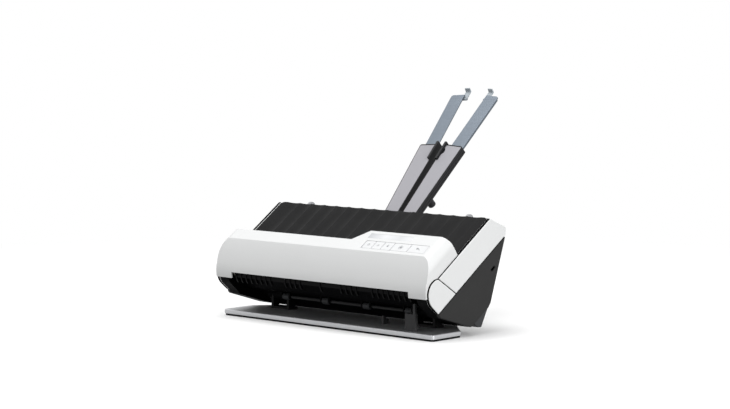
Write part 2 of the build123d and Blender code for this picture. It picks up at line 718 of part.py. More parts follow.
BEND_END = 160.0        # the lower guide ends here, in degrees round the hinge from +u
RIB_START = 100.0
RIB_END = 186.0


def lower_guide():
    plate = bent_plate(PATH_R - GUIDE_THICK, PATH_R, BEND_END, GUIDE_REAR_U, LUG_OUTER)
    # comb ribs, proud of the bend and carried on down as fins
    count = int((LUG_OUTER - RIB_THICK) // RIB_PITCH)
    rib_face = sector(PATH_R - GUIDE_THICK, PATH_R + RIB_PROUD, RIB_START, RIB_END)
    for rib in range(-count, count + 1):
        x = rib * RIB_PITCH
        if min(abs(x - tyre) for tyre in TYRE_X) > TYRE_WIDTH / 2 + RIB_THICK:
            plate += slab(rib_face, x - RIB_THICK / 2, x + RIB_THICK / 2)
    window = SLIDE_GAP + 0.4
    for x in TYRE_X:
        feed_half = math.sqrt(FEED_TYRE_R ** 2 - (PATH_V - GUIDE_THICK - FEED_V) ** 2) + window
        plate -= block(x - TYRE_WIDTH / 2 - window, x + TYRE_WIDTH / 2 + window,
                       FEED_U - feed_half, FEED_U + feed_half, 20, 40)
        plate -= rod(x - TYRE_WIDTH / 2 - window, x + TYRE_WIDTH / 2 + window, EXIT, EXIT_TYRE_R + window)
    plate -= block(-SENSOR_HALF - SEAT_GAP, SENSOR_HALF + SEAT_GAP,
                   SENSOR_U - SEAT_GAP, SENSOR_U + SENSOR_WIDTH + SEAT_GAP, 20, 40)
    foot_u = MOUTH_WALL_U + WALL + 0.2
    lug_points = [
        around(EXIT, 3.9, 125), around(EXIT, 3.9, 175), around(EXIT, 3.9, 215), around(EXIT, 3.9, 255),
        (foot_u, SHELF_V + 0.3), (foot_u, SHELF_V - 2), (36, SHELF_V - 2), (PINION[0] + 2, PINION[1] - 4.6),
        (PINION[0] + 5, PINION[1] - 1.5), (PINION[0] + 5, PINION[1] + 3),
        (GUIDE_REAR_U - 1, PATH_V - 1), (HINGE_U - 1, PATH_V - 1),
    ]
    for side in (-1, 1):
        plate += slab(polygon(lug_points), side * (LUG_OUTER - LUG_THICK), side * LUG_OUTER)
        bore_ends = (side * (LUG_OUTER - LUG_THICK - 1), side * (LUG_OUTER + 1))
        plate -= rod(*bore_ends, FEED, FEED_SHAFT_R + RUN_GAP)
        plate -= rod(*bore_ends, EXIT, EXIT_SHAFT_R + RUN_GAP)
    plate -= rod(-LUG_OUTER - 1, -LUG_OUTER + LUG_THICK + 1, PINION, MOTOR_SHAFT_R + 2 * SLIDE_GAP)
    plate += rod(-GEAR_OUTER - 0.2, -LUG_OUTER + 1, IDLER, IDLER_AXLE_R)
    return plate


save("lower_guide", lower_guide(), BODY)
save("lower_sensor_bar",
     block(-SENSOR_HALF, SENSOR_HALF, SENSOR_U, SENSOR_U + SENSOR_WIDTH, SHELF_V, PATH_V), BODY)


# ---------------------------------------------------------------- rollers and drive
def shaft(axis, radius, left, right):
    return rod(left, right, axis, radius)


def tyres(axis, outer, inner, places, width):
    group = None
    for x in places:
        tyre = rod(x - width / 2, x + width / 2, axis, outer) - rod(x - width, x + width, axis, inner)
        group = tyre if group is None else group + tyre
    return group


def motor():
    """A can motor bolted to the inner side of the left bearing plate."""
    start = -LUG_OUTER + LUG_THICK
    can = rod(start, start + MOTOR_LENGTH, PINION, MOTOR_R)
    can += rod(start + MOTOR_LENGTH, start + MOTOR_LENGTH + 1.5, PINION, MOTOR_R * 0.4)
    return can - rod(start - 1, start + MOTOR_LENGTH - 2, PINION, MOTOR_SHAFT_R + RUN_GAP)


def motor_pinion():
    toothed = gear(PINION, PINION_TEETH, PINION_PHASE, MOTOR_SHAFT_R / 2)
    return toothed + rod(-GEAR_OUTER - 0.8, -LUG_OUTER + LUG_THICK + MOTOR_LENGTH - 3, PINION, MOTOR_SHAFT_R)


SHAFT_LEFT = -GEAR_OUTER - 0.6
save("feed_shaft", shaft(FEED, FEED_SHAFT_R, SHAFT_LEFT, LUG_OUTER + 1), BODY)
save("feed_tyres", tyres(FEED, FEED_TYRE_R, FEED_SHAFT_R, TYRE_X, TYRE_WIDTH), BODY)
save("feed_gear", gear(FEED, FEED_TEETH, FEED_PHASE, FEED_SHAFT_R), BODY)
save("exit_shaft", shaft(EXIT, EXIT_SHAFT_R, SHAFT_LEFT, LUG_OUTER + 1), BODY)
save("exit_tyres", tyres(EXIT, EXIT_TYRE_R, EXIT_SHAFT_R, TYRE_X, TYRE_WIDTH), BODY)
save("exit_gear", gear(EXIT, EXIT_TEETH, EXIT_PHASE, EXIT_SHAFT_R), BODY)
save("idler_gear", gear(IDLER, IDLER_TEETH, IDLER_PHASE, IDLER_AXLE_R + RUN_GAP), BODY)
save("motor", motor(), BODY)
save("motor_pinion", motor_pinion(), BODY)


def guide_rollers():
    """Grey rollers on one thin axle under the front."""
    group = None
    for x in GUIDE_ROLLER_X:
        roller = rod(x - GUIDE_ROLLER_WIDTH / 2, x + GUIDE_ROLLER_WIDTH / 2, GUIDE_ROLLER_UV, GUIDE_ROLLER_R)
        roller = fillet(roller.edges(), 0.8) - GUIDE_AXLE
        group = roller if group is None else group + roller
    return group


GUIDE_AXLE_HALF = GUIDE_ROLLER_X[-1] + GUIDE_ROLLER_WIDTH / 2 + 3
GUIDE_AXLE = rod(-GUIDE_AXLE_HALF, GUIDE_AXLE_HALF, GUIDE_ROLLER_UV, GUIDE_ROLLER_AXLE_R)
save("guide_rollers", guide_rollers(), BODY)
save("guide_axle", GUIDE_AXLE, BODY)


# ---------------------------------------------------------------- electronics and sockets
def main_board():
    """The board stands on the sockets, square to the back wall's inner face."""
    board = block(*BOARD_X, *BOARD_Y, BOARD_LIFT, BOARD_LIFT + BOARD_THICK)
    board += block(62, 74, 38, 50, BOARD_LIFT + BOARD_THICK, BOARD_LIFT + BOARD_THICK + 1.4)
    board += block(88, 98, 40, 48, BOARD_LIFT + BOARD_THICK, BOARD_LIFT + BOARD_THICK + 1.2)
    board += block(104, 118, 20, 27, BOARD_LIFT + BOARD_THICK, BOARD_LIFT + BOARD_THICK + 4)
    for x in (BOARD_X[0] + 4, BOARD_X[1] - 4):
        for y in (BOARD_Y[0] + 3, BOARD_Y[1] - 3):
            board += Pos(x, y, (WALL + BOARD_LIFT) / 2) * Cylinder(1.8, BOARD_LIFT - WALL)
    return board


def usb_port():
    shell = block(*USB_X, *PORT_Y, 0.4, BOARD_LIFT)
    shell -= block(USB_X[0] + 1.2, USB_X[1] - 1.2, PORT_Y[0] + 1.2, PORT_Y[1] - 1.2, -1, 9)
    middle = (USB_X[0] + USB_X[1]) / 2
    return shell + block(middle - 2.5, middle + 2.5, PORT_Y[1] - 4.0, PORT_Y[1] - 1.0, 1.5, 9.2)


def power_inlet():
    centre = Pos((POWER_X[0] + POWER_X[1]) / 2, (PORT_Y[0] + PORT_Y[1]) / 2, 0)
    body = block(*POWER_X, *PORT_Y, 0.4, BOARD_LIFT)
    body -= centre * Pos(0, 0, 4) * Cylinder(3.3, 10)
    return body + centre * Pos(0, 0, 5) * Cylinder(0.9, 9)


FOOT_U = (37.5, 63.5)
FOOT_TOE = ((40.7, -51.3), (44.3, -54.1))


def rear_foot():
    """A wedge across the belly, which hangs just over the plate."""
    wedge = polygon([(FOOT_U[0], BELLY_V), *FOOT_TOE, (FOOT_U[1], BELLY_V)])
    wedge = fillet(wedge.vertices().sort_by(Axis.Y)[0], 1.0)
    return slab(wedge, -REAR_FOOT_HALF, REAR_FOOT_HALF)


def casing_screws():
    """Small pan-head screws in the back wall."""
    group = None
    for x in SCREW_X:
        head = BACK * (Pos(x, SCREW_Y, -0.8) * Cylinder(2.6, 1.6))
        stem = BACK * (Pos(x, SCREW_Y, WALL / 2) * Cylinder(SCREW_R, WALL))
        screw = head + stem
        group = screw if group is None else group + screw
    return group


save("main_board", BACK * main_board(), BODY)
save("usb_port", BACK * usb_port(), BODY)
save("power_inlet", BACK * power_inlet(), BODY)
save("rear_foot", rear_foot(), BODY)
save("casing_screws", casing_screws(), BODY)


# ---------------------------------------------------------------- front cover
def cover_side_face():
    """Side outline of the front cover, carried past its top, its rear and the lip's foot."""
    crease = (COVER_CREASE_U, COVER_TOP)
    length = math.dist(crease, COVER_FACE_FOOT)
    radius = length ** 2 / (8 * COVER_FACE_BULGE) + COVER_FACE_BULGE / 2
    square = math.degrees(math.atan2(crease[0] - COVER_FACE_FOOT[0], COVER_FACE_FOOT[1] - crease[1]))
    centre = around(along(crease, COVER_FACE_FOOT, 0.5), COVER_FACE_BULGE - radius, square)
    crease_angle = square - math.degrees(math.asin(length / 2 / radius))
    top = around(centre, radius, crease_angle - math.degrees(COVER_OVERRUN / radius))
    front = ThreePointArc(top, around(centre, radius, square), COVER_FACE_FOOT)
    lip = TangentArc(COVER_FACE_FOOT, LIP_FOOT, tangent=front % 1)
    past_lip = (LIP_FOOT[0] + (lip % 1).X * COVER_OVERRUN, LIP_FOOT[1] + (lip % 1).Y * COVER_OVERRUN)
    rear = COVER_REAR_RIGHT + COVER_OVERRUN
    rest = Polyline(LIP_FOOT, past_lip, (rear, past_lip[1]), (rear, top[1]), top)
    return make_face(front + lip + rest)


def cover_plan(half=COVER_HALF):
    """Plan of the cover: its rear face steps forward on the left."""
    step = COVER_STEP_X + COVER_STEP_RUN
    return make_face(Polyline(
        (-half, -40), (half, -40), (half, COVER_REAR_RIGHT), (step, COVER_REAR_RIGHT),
        (COVER_STEP_X, COVER_REAR_LEFT), (-half, COVER_REAR_LEFT), close=True))


def cover_section():
    """Section across the cover, with its rounded shoulders."""
    face = make_face(Polyline((-COVER_HALF, -20), (COVER_HALF, -20), (COVER_HALF, COVER_TOP),
                              (-COVER_HALF, COVER_TOP), close=True))
    return fillet(face.vertices().sort_by(Axis.Y)[-2:], COVER_CORNER)


def cover_form(inset):
    """The cover's outer form, or its hollow when inset."""
    past_side = COVER_HALF + COVER_OVERRUN
    profile = cover_side_face()
    plan = cover_plan(past_side)
    section = cover_section()
    if inset:
        profile = offset(profile, amount=-inset, kind=Kind.INTERSECTION)
        plan = offset(plan, amount=-inset, kind=Kind.INTERSECTION)
        section = offset(section, amount=-inset, kind=Kind.INTERSECTION)
    across = slab(profile, -past_side, past_side)
    down = sheet(plan, -30, COVER_TOP + 2 * COVER_OVERRUN)
    back = extrude(Plane.XZ.offset(60) * section, amount=140, dir=(0, 1, 0))
    return across & down & back


def window_cut(grow, top, bottom):
    return block(WINDOW_X[0] - grow, WINDOW_X[1] + grow, WINDOW_U[0] - grow, WINDOW_U[1] + grow, bottom, top)


def under_cover():
    """Side outline of all that lies under the cover: the deck, and the caps it turns around."""
    lip = math.degrees(math.atan2(LIP_FOOT[1] - HINGE_V, LIP_FOOT[0] - HINGE_U))
    lip_end = around(HINGE, 45, lip - LIP_TRIM)
    deck = DECK_V + SEAM
    face = polygon([lip_end, (HINGE_U, HINGE_V), (HINGE_U, deck), (90, deck), (90, -60), (-60, -60)])
    return face + Pos(HINGE_U, HINGE_V) * Circle(CAP_R + CAP_GAP)


def cover_shell():
    shell = cover_form(0) - slab(under_cover(), -COVER_HALF - 1, COVER_HALF + 1)
    shell -= cover_form(COVER_SKIN)
    # open at the rear over the paper path
    mouth = COVER_HALF - 2 * COVER_SKIN
    shell -= block(-mouth, mouth, COVER_REAR_LEFT - 2 * COVER_SKIN, 90, -30, ENTRY_V)
    shell -= block(-EXIT_HALF, EXIT_HALF, -30, HINGE_U + 10, -30, EXIT_TOP_V)
    shell -= block(BUTTON_EDGES[0] - SLIDE_GAP, BUTTON_EDGES[-1] + SLIDE_GAP,
                   BUTTON_FRONT_U - SLIDE_GAP, BUTTON_REAR_U + SLIDE_GAP, 40, 60)
    shell -= window_cut(0.1, COVER_TOP + 1, COVER_TOP - WINDOW_THICK)
    shell -= window_cut(-WINDOW_LEDGE, COVER_TOP + 1, COVER_TOP - 6)
    arm = polygon([(HINGE_U - 3.6, HINGE_V + 1), (11, 38), (24, COVER_TOP - COVER_SKIN - 0.3),
                   (ARM_TOP_U, COVER_TOP - COVER_SKIN + 0.5), (ARM_TOP_U, 42), (36, 42),
                   (HINGE_U + 4, HINGE_V - 1)])
    for side in (-1, 1):
        web = slab(arm, side * ARM_INNER, side * ARM_OUTER)
        web += rod(side * ARM_INNER, side * ARM_OUTER, HINGE, 4.2)
        shell += web
        shell -= rod(side * (ARM_INNER - 1), side * (ARM_OUTER + 1), HINGE, COVER_PIN_R + RUN_GAP)
    return shell


save("cover_shell", cover_shell(), BODY)
pins = None
for side in (-1, 1):
    pin = rod(side * (ARM_INNER - 0.4), side * (END_INNER + 4), HINGE, COVER_PIN_R)
    pins = pin if pins is None else pins + pin
save("cover_hinge_pins", pins, BODY)


# ---------------------------------------------------------------- inside the cover
UPPER_GUIDE_HALF = ARM_INNER      # the guide is held between the cover's hinge arms
SEPARATION_LUG = SEPARATION_HALF - 4.0


def cover_guide():
    """The upper paper guide: bends round the hinge in front, flares up at the entry."""
    last = math.degrees(math.atan2(EXIT_TOP_V - HINGE_V, -1.2 - HINGE_U)) - 3
    rise_u = COVER_REAR_LEFT - COVER_SKIN - 4.5
    low = HINGE_V + UPPER_R
    outer = UPPER_R + 1.5
    middle = (90 + last) / 2
    edges = Polyline((HINGE_U, low), (rise_u, low), (rise_u + 3, ENTRY_V),
                     (COVER_REAR_RIGHT - COVER_SKIN - SEAM, ENTRY_V),
                     (COVER_REAR_RIGHT - COVER_SKIN - SEAM, ENTRY_V + 1.5),
                     (rise_u + 2.5, ENTRY_V + 1.5), (rise_u - 0.5, low + 1.5), (HINGE_U, low + 1.5))
    edges += ThreePointArc((HINGE_U, low + 1.5), around(HINGE, outer, middle), around(HINGE, outer, last))
    edges += Line(around(HINGE, outer, last), around(HINGE, UPPER_R, last))
    edges += ThreePointArc(around(HINGE, UPPER_R, last), around(HINGE, UPPER_R, middle), (HINGE_U, low))
    plate = slab(make_face(edges), -UPPER_GUIDE_HALF, UPPER_GUIDE_HALF)
    plan = offset(cover_plan(), amount=-COVER_SKIN - SEAM, kind=Kind.INTERSECTION)
    plate &= sheet(plan, 0, 60)
    for x in SEPARATION_X:
        half = SEPARATION_WIDTH / 2 + 0.7
        reach = SEPARATION_R + 0.4
        plate -= block(x - half, x + half, FEED_U - reach, FEED_U + reach, 25, 36)
    plate -= block(-SENSOR_HALF - SEAT_GAP, SENSOR_HALF + SEAT_GAP,
                   SENSOR_U - SEAT_GAP, SENSOR_U + SENSOR_WIDTH + SEAT_GAP, 25, 34)
    for side in (-1, 1):
        lug = block(side * SEPARATION_LUG, side * (SEPARATION_LUG + 3), FEED_U - 4.5, FEED_U + 4.5,
                    low, SEPARATION[1])
        lug += rod(side * SEPARATION_LUG, side * (SEPARATION_LUG + 3), SEPARATION, 4.5)
        plate += lug
        plate -= rod(side * 20, side * 40, SEPARATION, FEED_SHAFT_R + RUN_GAP)
    # posts up to the shell's top carry the guide and the button board
    for x, u in GUIDE_POSTS:
        plate += Pos(x, u, (UPPER_V + COVER_TOP - COVER_SKIN) / 2 + 0.5) * Cylinder(
            2.5, COVER_TOP - COVER_SKIN - UPPER_V - 1)
    return plate


GUIDE_POSTS = ((-120.0, 33.0), (-70.0, 33.0))
BOARD_TOP_V = COVER_TOP - COVER_SKIN - BUTTON_DEPTH - 0.1
save("cover_guide", cover_guide(), BODY)
save("separation_shaft", rod(-SEPARATION_HALF, SEPARATION_HALF, SEPARATION, FEED_SHAFT_R), BODY)
save("separation_tyres", tyres(SEPARATION, SEPARATION_R, FEED_SHAFT_R, SEPARATION_X, SEPARATION_WIDTH), BODY)
save("upper_sensor_bar",
     block(-SENSOR_HALF, SENSOR_HALF, SENSOR_U, SENSOR_U + SENSOR_WIDTH,
           UPPER_V, UPPER_V + UPPER_SENSOR_DEPTH), BODY)
save("display_window", window_cut(0, COVER_TOP, COVER_TOP - WINDOW_THICK), BODY)


def button_board():
    """Carries the display under its window and one switch under each button."""
    top = BOARD_TOP_V - BUTTON_TRAVEL - 0.1
    board = block(BUTTON_EDGES[0] - 3, BUTTON_EDGES[-1] + 3, BUTTON_FRONT_U + 0.5, WINDOW_U[1] + 0.6,
                  top - BOARD_THICK, top)
    board += window_cut(-WINDOW_LEDGE - 0.3, COVER_TOP - WINDOW_THICK, top - 0.5)
    for left, right in zip(BUTTON_EDGES, BUTTON_EDGES[1:]):
        centre = Pos((left + right) / 2, (BUTTON_FRONT_U + BUTTON_REAR_U) / 2, top - 0.5)
        board += centre * Cylinder(1.6, 1.0)
    # two standoffs from the cover guide
    for x in (BUTTON_EDGES[0] + 4, BUTTON_EDGES[-1] - 4):
        foot = (ENTRY_V + 1.5 + top - BOARD_THICK) / 2
        board += Pos(x, WINDOW_U[1] - 3, foot) * Cylinder(1.8, top - BOARD_THICK - ENTRY_V - 1.5)
    return board


save("button_board", button_board(), BODY)


def button(left, right):
    """A key cap with a flange under the cover's top and a short stem."""
    x0 = left + BUTTON_GAP / 2
    x1 = right - BUTTON_GAP / 2
    under = COVER_TOP - COVER_SKIN - SLIDE_GAP / 3
    cap = block(x0, x1, BUTTON_FRONT_U, BUTTON_REAR_U, under - 1.2, COVER_TOP)
    cap = fillet(cap.faces().sort_by(Axis.Z)[-1].edges(), 0.4)
    cap += block(x0, x1, BUTTON_FRONT_U - BUTTON_FLANGE, BUTTON_REAR_U + BUTTON_FLANGE, under - 1.2, under)
    stem = Pos((left + right) / 2, (BUTTON_FRONT_U + BUTTON_REAR_U) / 2, (under - 1 + BOARD_TOP_V) / 2)
    return cap + stem * Cylinder(1.4, under - 1 - BOARD_TOP_V)


for name, left, right in zip(BUTTON_NAMES, BUTTON_EDGES, BUTTON_EDGES[1:]):
    save(name, button(left, right), BODY)


# ---------------------------------------------------------------- edge guides
RACK_PITCH = math.pi * RACK_MODULE
RACK_TOP = -WALL - 0.5                 # below the slope's outer surface, in the slope frame
GUIDE_PINION_R = RACK_MODULE * GUIDE_PINION_TEETH / 2


def rack(side):
    """A rack with teeth towards the pinion, for the guide on one side."""
    lane = -side
    length = EDGE_GUIDE_X + 10
    line = EDGE_GUIDE_Y + lane * GUIDE_PINION_R
    back = line + lane * (1.1 * RACK_MODULE + RACK_WIDTH)
    root = line + lane * 1.1 * RACK_MODULE
    tip = line - lane * 0.75 * RACK_MODULE
    points = [(-10 * side, back), (-10 * side, root)]
    count = int((length - RACK_PITCH) // RACK_PITCH)
    # a gap of the rack lies at the pinion's middle, x = 0, when the guide stands wide
    start = math.floor(-10 / RACK_PITCH) + 1
    for tooth in range(start, start + count):
        centre = side * (tooth + 0.5) * RACK_PITCH
        half_root = 0.33 * RACK_PITCH
        half_tip = 0.10 * RACK_PITCH
        points += [(centre - side * half_root, root), (centre - side * half_tip, tip),
                   (centre + side * half_tip, tip), (centre + side * half_root, root)]
    points += [(side * (EDGE_GUIDE_X + 2), root), (side * (EDGE_GUIDE_X + 2), back)]
    face = make_face(Polyline(*points, close=True))
    return sheet(face, RACK_TOP - RACK_THICK, RACK_TOP)


def edge_guide(side):
    """A rounded tab on the rear slope, with a foot through the slot and a rack below."""
    x0 = side * EDGE_GUIDE_X - EDGE_GUIDE_THICK / 2
    x1 = side * EDGE_GUIDE_X + EDGE_GUIDE_THICK / 2
    half = EDGE_GUIDE_LENGTH / 2
    tab = make_face(
        Polyline((EDGE_GUIDE_Y + half, SLIDE_GAP), (EDGE_GUIDE_Y - half, SLIDE_GAP))
        + ThreePointArc((EDGE_GUIDE_Y - half, SLIDE_GAP), (EDGE_GUIDE_Y, EDGE_GUIDE_HEIGHT),
                        (EDGE_GUIDE_Y + half, SLIDE_GAP)))
    guide = slab(tab, x0, x1)
    guide += block(x0, x1, EDGE_GUIDE_Y - 1.5, EDGE_GUIDE_Y + 1.5, RACK_TOP - RACK_THICK, SLIDE_GAP + 0.2)
    lane = -side
    edge = EDGE_GUIDE_Y + lane * (GUIDE_PINION_R + 1.1 * RACK_MODULE + 0.5)
    guide += block(x0, x1, EDGE_GUIDE_Y, edge, RACK_TOP - RACK_THICK, RACK_TOP)
    return guide + rack(side)


def guide_pinion():
    phase = 90.0
    face = polygon(tooth_outline(GUIDE_PINION_TEETH, RACK_MODULE, phase))
    wheel = extrude(face, amount=-RACK_THICK, dir=(0, 0, 1))
    return Pos(0, EDGE_GUIDE_Y, RACK_TOP) * wheel - Pos(0, EDGE_GUIDE_Y, 0) * Cylinder(1.5 + RUN_GAP, 30)


for side, word in ((-1, "left"), (1, "right")):
    save("edge_guide_" + word, edge_guide(side), SLOPE)
save("guide_pinion", guide_pinion(), SLOPE)


# ---------------------------------------------------------------- tray
ARM_WALL = 1.1          # inner side wall of an arm's channel
ARM_OUTER_WALL = 2.5
INSET_MARGIN = 0.7      # frame left round the inset
INSET_DEPTH = 0.8
FLARE = math.tan(math.radians(ARM_FLARE))
BLADE_BACK_N = BLADE_FRONT_N - BLADE_THICK
BLADE_OUTER = ARM_REACH_OUT - ARM_OUTER_WALL - SLIDE_GAP
BLADE_FOOT_S = ARM_TOP_S - 58.0
FLANGE_THICK = 0.9
GRIP_S = (72.0, 96.0)
GRIP_PROUD = 2.6
GRIP_THICK = 2.6
CHANNEL_FOOT = 12.0


def arm_place(side):
    """The frame of one arm: origin at its pivot, splayed outwards."""
    return TRAY * Location((side * ARM_PIVOT_X, ARM_PIVOT_S, 0), (0, 0, -side * ARM_SPLAY))


def inner_place(side):
    """Within an arm's frame: a frame that runs along the arm's inner edge."""
    return Location((-side * ARM_REACH_IN, 0, 0), (0, 0, side * ARM_FLARE))


def arm_s(s):
    """Length along an arm from its pivot, for a place s along the tray."""
    return s - ARM_PIVOT_S


def arm_plan(side, foot, top, outer=0.0, inner=0.0):
    """Plan of an arm between two lengths, taken in by a margin at each edge."""
    reach = ARM_REACH_IN - inner
    out = side * (ARM_REACH_OUT - outer)
    return make_face(Polyline((out, foot), (out, top), (-side * (reach + top * FLARE), top),
                              (-side * (reach + foot * FLARE), foot), close=True))


def tray_arm(side):
    """A flared channel with a rounded foot, a front recess for the inset and a pull grip."""
    top = arm_s(ARM_TOP_S)
    plan = arm_plan(side, arm_s(ARM_FOOT_S), top)
    plan = fillet(plan.vertices().sort_by(Axis.Y)[-2:], 2.0)
    plan = fillet(plan.vertices().sort_by(Axis.Y)[:2], 5.0)
    arm = sheet(plan, -ARM_THICK, 0)
    # channel for the extension, open at the top and behind
    channel = arm_plan(side, CHANNEL_FOOT, top + 1, ARM_OUTER_WALL, ARM_WALL)
    arm -= sheet(channel, BLADE_BACK_N - 1.6, BLADE_FRONT_N + SLIDE_GAP)
    window = arm_plan(side, CHANNEL_FOOT, top + 1, ARM_OUTER_WALL + 2, ARM_WALL + 2)
    arm -= sheet(window, -ARM_THICK - 1, BLADE_BACK_N)
    arm -= inset_block(side, 0.0)
    arm -= Cylinder(ARM_PIN_R + RUN_GAP, 60)
    # two lengthwise grooves on the outer side
    for n in (-ARM_THICK / 3, -ARM_THICK * 2 / 3):
        arm -= block(side * (ARM_REACH_OUT - 0.5), side * (ARM_REACH_OUT + 1), 14, top - 3, n - 0.5, n + 0.5)
    # pull grip at the inner top
    grip = block(0, side * ARM_WALL, arm_s(GRIP_S[0]), arm_s(GRIP_S[1]), -ARM_THICK, GRIP_PROUD)
    grip += block(0, side * GRIP_THICK, arm_s(GRIP_S[0]), arm_s(GRIP_S[1]), -2, GRIP_PROUD)
    return arm + inner_place(side) * grip


def inset_block(side, gap):
    margin = INSET_MARGIN + gap
    plan = arm_plan(side, 8 + gap, arm_s(ARM_TOP_S) - 2 * INSET_MARGIN - gap, margin, margin)
    return sheet(fillet(plan.vertices(), 1.5), -INSET_DEPTH, 0 if gap else 0.5)


def arm_inset(side):
    """Light panel let into the arm's face, notched round the grip."""
    notch = Pos(0, arm_s((GRIP_S[0] + GRIP_S[1]) / 2), 0) * Cylinder(5.2, 10)
    grip = block(0, side * (GRIP_THICK + SEAT_GAP),
                 arm_s(GRIP_S[0]) - SEAT_GAP, arm_s(GRIP_S[1]) + SEAT_GAP, -5, 5)
    return inset_block(side, RUN_GAP) - inner_place(side) * (notch + grip)


# the blade is as wide as still clears the flared channel when it is pushed right in
BLADE_INNER = ARM_REACH_IN - ARM_WALL - SLIDE_GAP + (arm_s(ARM_TOP_S) - EXTENSION_TRAVEL) * FLARE
TAB_HINGE_L = arm_s(EXTENSION_TOP_S) - 4.0
TAB_HINGE_N = BLADE_BACK_N - 1.8
TAB_BARREL_R = 1.5
TAB_PIN_R = 0.8
TAB_SHEET = 1.4


def extension(side):
    """A sheet-metal blade in the arm's channel, with a folded flange along its outer edge."""
    foot = arm_s(BLADE_FOOT_S)
    shoulder = arm_s(ARM_TOP_S)
    top = arm_s(EXTENSION_TOP_S)
    foot_inner = BLADE_INNER - (shoulder - foot) * FLARE
    plan = make_face(Polyline(
        (side * BLADE_OUTER, foot), (side * BLADE_OUTER, top), (-side * BLADE_INNER, top),
        (-side * BLADE_INNER, shoulder), (-side * foot_inner, foot), close=True))
    corners = plan.vertices().sort_by(Axis.Y)[-2:].sort_by(Axis.X)
    plan = fillet(corners[1 if side > 0 else 0], 3.0)
    blade = sheet(plan, BLADE_BACK_N, BLADE_FRONT_N)
    blade += block(side * (BLADE_OUTER - FLANGE_THICK), side * BLADE_OUTER, foot, top - 3.5,
                   BLADE_BACK_N - 1.2, BLADE_BACK_N + 0.5)
    # one knuckle behind the blade, with the pin the stop tab turns on
    x = side * (TAB_WIDTH / 2 + SLIDE_GAP - BLADE_INNER)
    knuckle = block(x, x + side * 2.5, TAB_HINGE_L - TAB_BARREL_R, TAB_HINGE_L + TAB_BARREL_R,
                    TAB_HINGE_N, BLADE_BACK_N + 0.2)
    knuckle += rod(x, x + side * 2.5, (TAB_HINGE_L, TAB_HINGE_N), TAB_BARREL_R)
    pin = rod(-side * (BLADE_INNER + TAB_WIDTH / 2), x + side, (TAB_HINGE_L, TAB_HINGE_N), TAB_PIN_R)
    return blade + knuckle + pin


def stop_tab(side):
    """A narrow hook behind the blade's inner corner, with a lip bent to the front."""
    top = arm_s(TAB_TOP_S)
    n = TAB_HINGE_N
    half = TAB_SHEET / 2
    points = [(TAB_HINGE_L, n + half), (top - 2.4, n + half), (top - 1.0, n + 4.4), (top, n + 4.4),
              (top, n + 3.4), (top - 1.0, n - half), (TAB_HINGE_L, n - half)]
    x0 = -side * (BLADE_INNER - TAB_WIDTH / 2)
    x1 = -side * (BLADE_INNER + TAB_WIDTH / 2)
    hook = slab(polygon(points), x0, x1) + rod(x0, x1, (TAB_HINGE_L, n), TAB_BARREL_R)
    return hook - rod(x0 + side, x1 - side, (TAB_HINGE_L, n), TAB_PIN_R + RUN_GAP)


def tray_carriage():
    """A plate in front of the arms' feet that slides in the casing's rails and holds the pivots."""
    plan = block(-CARRIAGE_HALF, CARRIAGE_HALF, *CARRIAGE_S, SLIDE_GAP, SLIDE_GAP + CARRIAGE_THICK)
    carriage = fillet(plan.edges().filter_by(Axis.Z), 2.0)
    for side in (-1, 1):
        length = ARM_THICK + SLIDE_GAP
        carriage += Pos(side * ARM_PIVOT_X, ARM_PIVOT_S, SLIDE_GAP - length / 2) * Cylinder(ARM_PIN_R, length)
    return carriage


def tray_knob():
    """A round knob behind the right arm."""
    place = Pos(KNOB_X, arm_s(KNOB_S), -ARM_THICK - KNOB_HEIGHT / 2)
    knob = place * Cylinder(KNOB_R, KNOB_HEIGHT)
    return fillet(knob.faces().sort_by(Axis.Z)[0].edges(), 1.0)


KNOB_X = ARM_REACH_OUT - KNOB_R - 1.0
save("tray_carriage", tray_carriage(), TRAY)
for side, word in ((-1, "left"), (1, "right")):
    save("tray_arm_" + word, tray_arm(side), arm_place(side))
    save("arm_inset_" + word, arm_inset(side), arm_place(side))
    save("tray_extension_" + word, extension(side), arm_place(side))
    save("stop_tab_" + word, stop_tab(side), arm_place(side))
save("tray_knob", tray_knob(), arm_place(1))
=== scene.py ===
import json
import math

import bpy
from mathutils import Matrix, Vector


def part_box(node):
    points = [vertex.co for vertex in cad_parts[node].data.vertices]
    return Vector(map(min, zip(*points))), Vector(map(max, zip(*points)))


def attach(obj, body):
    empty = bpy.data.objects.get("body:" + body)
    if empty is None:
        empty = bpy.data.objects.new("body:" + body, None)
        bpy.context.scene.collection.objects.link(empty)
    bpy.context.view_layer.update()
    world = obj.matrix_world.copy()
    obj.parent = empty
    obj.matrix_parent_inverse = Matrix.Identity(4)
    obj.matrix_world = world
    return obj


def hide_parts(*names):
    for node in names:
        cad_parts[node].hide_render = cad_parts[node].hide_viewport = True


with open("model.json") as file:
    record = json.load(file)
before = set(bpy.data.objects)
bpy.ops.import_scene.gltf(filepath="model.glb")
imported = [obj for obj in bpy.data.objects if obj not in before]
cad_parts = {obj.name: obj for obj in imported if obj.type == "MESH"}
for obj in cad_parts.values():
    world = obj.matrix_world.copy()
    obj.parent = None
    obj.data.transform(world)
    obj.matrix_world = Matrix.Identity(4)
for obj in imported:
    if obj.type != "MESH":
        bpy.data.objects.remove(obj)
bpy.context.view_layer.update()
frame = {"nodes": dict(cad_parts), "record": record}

# Looks of a sheet fed document scanner: black casing, white front cover, tilting stand, two tray arms.
# Metres. x across, u along the paper path towards the tray, v square to the path.

mm = 0.001

# ---------------------------------------------------------------- frames, as the solids have them
BODY = Matrix.Translation((0, -0.038518, 0.027072)) @ Matrix.Rotation(math.radians(34.3), 4, "X")

